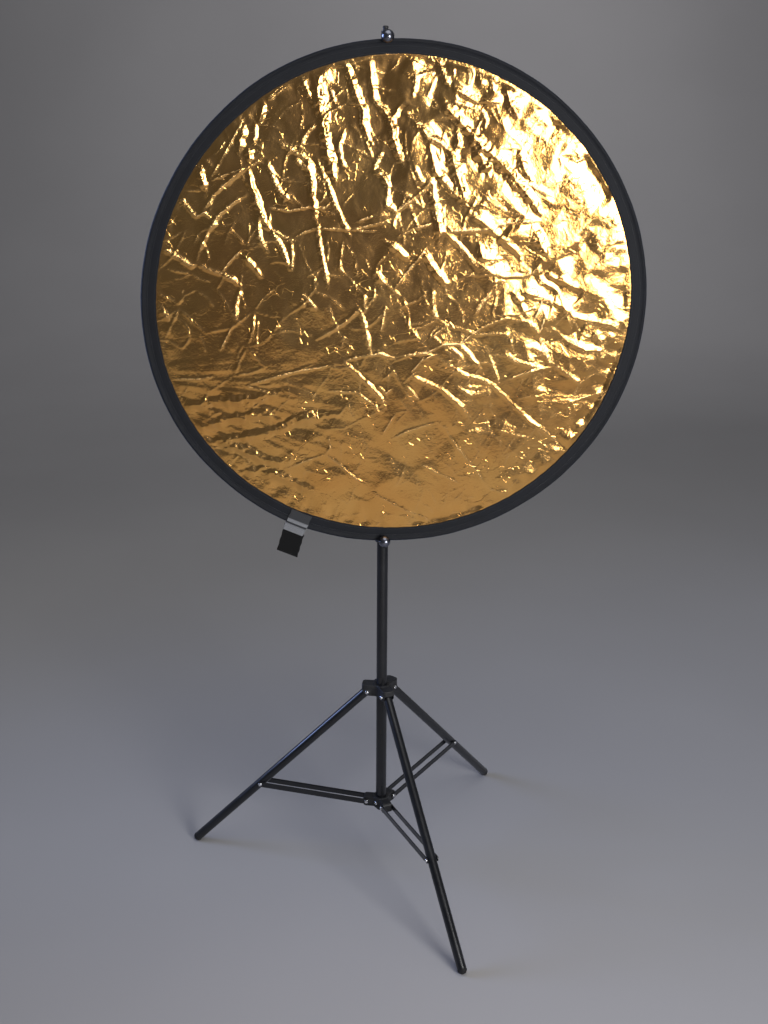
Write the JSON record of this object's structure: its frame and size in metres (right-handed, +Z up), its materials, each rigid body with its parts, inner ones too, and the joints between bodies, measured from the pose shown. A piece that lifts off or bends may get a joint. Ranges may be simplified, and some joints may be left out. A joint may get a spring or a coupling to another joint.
{
  "type": "disc reflector on light stand",
  "caption": "Round collapsible gold reflector disc with a black edge binding, held upright by clips on a telescoping black light stand with folding braced legs.",
  "frame": {"origin": "on the floor, under the centre of the whole object's box; the column axis is 26 mm towards -X and 53.2 mm towards +Y", "axes": "+Z up along the column; the gold face looks along -Y; +X is to the right of a person who looks at the gold face"},
  "size_m": [1.1, 0.8382, 2.009],
  "materials": {
    "black_tube": "satin black anodised or painted tube",
    "black_casting": "fine-textured black moulding",
    "black_plastic": "satin black plastic",
    "black_rubber": "matte rubber",
    "chrome": "polished chrome",
    "bright_steel": "bright drawn steel",
    "gold_foil": "crumpled metallised gold film on cloth",
    "silver_foil": "crumpled metallised silver film on cloth",
    "black_binding": "black woven nylon edge binding",
    "grey_webbing": "grey nylon webbing",
    "black_tag": "black nylon"
  },
  "bodies": {
    "column": {"base_tube": "black_tube", "column_end_cap": "black_plastic", "lower_collar": "black_casting", "collar_set_screw": "chrome", "base_lock_collar": "black_casting", "brace_inner_rivet_left": "chrome", "brace_inner_rivet_front": "chrome", "brace_inner_rivet_rear": "chrome"},
    "hub": {"leg_hub": "black_casting", "leg_pivot_rivet_left": "chrome", "leg_pivot_rivet_front": "chrome", "leg_pivot_rivet_rear": "chrome"},
    "hub_knob": {"hub_lock_knob": "black_plastic"},
    "base_knob": {"base_lock_knob": "black_plastic"},
    "middle_mast": {"second_section": "black_tube", "second_section_guide": "black_plastic", "second_lock_collar": "black_casting"},
    "middle_knob": {"second_lock_knob": "black_plastic"},
    "reflector": {"lower_clip_body": "black_casting", "lower_clip_pad": "black_rubber", "spring_steel_hoop": "bright_steel", "edge_binding": "black_binding", "gold_front_panel": "gold_foil", "silver_rear_panel": "silver_foil", "strap_loop": "grey_webbing", "strap_tag": "black_tag"},
    "lower_ball": {"lower_ball_knob": "chrome", "lower_clip_stud": "bright_steel"},
    "top_mast": {"third_section": "black_tube", "third_section_guide": "black_plastic", "top_spigot": "black_casting", "upper_clip_body": "black_casting", "upper_clip_pad": "black_rubber"},
    "upper_ball": {"upper_ball_knob": "chrome", "upper_clip_stud": "bright_steel"},
    "leg_left": {"leg_tube_left": "black_tube", "leg_top_plug_left": "black_plastic", "foot_cap_left": "black_rubber"},
    "brace_left": {"brace_bar_left_a": "black_tube", "brace_bar_left_b": "black_tube", "brace_outer_rivet_left_a": "chrome", "brace_outer_rivet_left_b": "chrome"},
    "leg_front": {"leg_tube_front": "black_tube", "leg_top_plug_front": "black_plastic", "foot_cap_front": "black_rubber"},
    "brace_front": {"brace_bar_front_a": "black_tube", "brace_bar_front_b": "black_tube", "brace_outer_rivet_front_a": "chrome", "brace_outer_rivet_front_b": "chrome"},
    "leg_rear": {"leg_tube_rear": "black_tube", "leg_top_plug_rear": "black_plastic", "foot_cap_rear": "black_rubber"},
    "brace_rear": {"brace_bar_rear_a": "black_tube", "brace_bar_rear_b": "black_tube", "brace_outer_rivet_rear_a": "chrome", "brace_outer_rivet_rear_b": "chrome"}
  },
  "joints": [
    {"name": "hub_slide", "type": "slide", "parent": "column", "child": "hub", "axis": [0, 0, 1], "range_m": [0, 0.36016]},
    {"name": "leg_left_fold", "type": "hinge", "parent": "hub", "child": "leg_left", "pos_m": [-0.05966, 0.06078, 0.479], "axis": [-0.2198, -0.9755, 0], "range_deg": [-0.1, 43.88]},
    {"name": "brace_left_fold", "type": "hinge", "parent": "column", "child": "brace_left", "pos_m": [-0.06063, 0.061, 0.1655], "axis": [0.2198, 0.9755, 0], "range_deg": [-0.1, 84.88]},
    {"name": "leg_front_fold", "type": "hinge", "parent": "hub", "child": "leg_front", "pos_m": [-0.01574, 0.02026, 0.479], "axis": [0.9548, 0.2974, 0], "range_deg": [-0.1, 43.88]},
    {"name": "brace_front_fold", "type": "hinge", "parent": "column", "child": "brace_front", "pos_m": [-0.01544, 0.01931, 0.1655], "axis": [-0.9548, -0.2974, 0], "range_deg": [-0.1, 84.88]},
    {"name": "leg_rear_fold", "type": "hinge", "parent": "hub", "child": "leg_rear", "pos_m": [-0.0026, 0.07855, 0.479], "axis": [-0.7349, 0.6782, 0], "range_deg": [-0.1, 43.88]},
    {"name": "brace_rear_fold", "type": "hinge", "parent": "column", "child": "brace_rear", "pos_m": [-0.00193, 0.07929, 0.1655], "axis": [0.7349, -0.6782, 0], "range_deg": [-0.1, 84.88]},
    {"name": "hub_lock_turn", "type": "hinge", "parent": "hub", "child": "hub_knob", "pos_m": [-0.03195, 0.07229, 0.484], "axis": [-0.2974, 0.9548, 0], "range_deg": [0, 360]},
    {"name": "base_lock_turn", "type": "hinge", "parent": "column", "child": "base_knob", "pos_m": [-0.026, 0.0832, 0.888], "axis": [0, 1, 0], "range_deg": [0, 360]},
    {"name": "middle_slide", "type": "slide", "parent": "column", "child": "middle_mast", "axis": [0, 0, 1], "range_m": [0, 0.1]},
    {"name": "middle_lock_turn", "type": "hinge", "parent": "middle_mast", "child": "middle_knob", "pos_m": [-0.026, 0.0832, 1.489], "axis": [0, 1, 0], "range_deg": [0, 360]},
    {"name": "reflector_pan", "type": "hinge", "parent": "middle_mast", "child": "reflector", "pos_m": [-0.026, 0.0532, 0.919], "axis": [0, 0, 1], "range_deg": [-90, 90]},
    {"name": "top_slide", "type": "slide", "parent": "reflector", "child": "top_mast", "axis": [0, 0, 1], "range_m": [0, 0.12]},
    {"name": "lower_ball_turn", "type": "hinge", "parent": "reflector", "child": "lower_ball", "pos_m": [-0.026, 0.0182, 0.893], "axis": [0, -1, 0], "range_deg": [0, 360]},
    {"name": "upper_ball_turn", "type": "hinge", "parent": "top_mast", "child": "upper_ball", "pos_m": [-0.026, 0.0182, 1.9895], "axis": [0, -1, 0], "range_deg": [0, 360]}
  ],
  "couplings": [
    {"joint": "leg_left_fold", "follows": "hub_slide", "rad_per_m": 2.1213},
    {"joint": "brace_left_fold", "follows": "hub_slide", "rad_per_m": 4.1083},
    {"joint": "leg_front_fold", "follows": "hub_slide", "rad_per_m": 2.1213},
    {"joint": "brace_front_fold", "follows": "hub_slide", "rad_per_m": 4.1083},
    {"joint": "leg_rear_fold", "follows": "hub_slide", "rad_per_m": 2.1213},
    {"joint": "brace_rear_fold", "follows": "hub_slide", "rad_per_m": 4.1083}
  ]
}
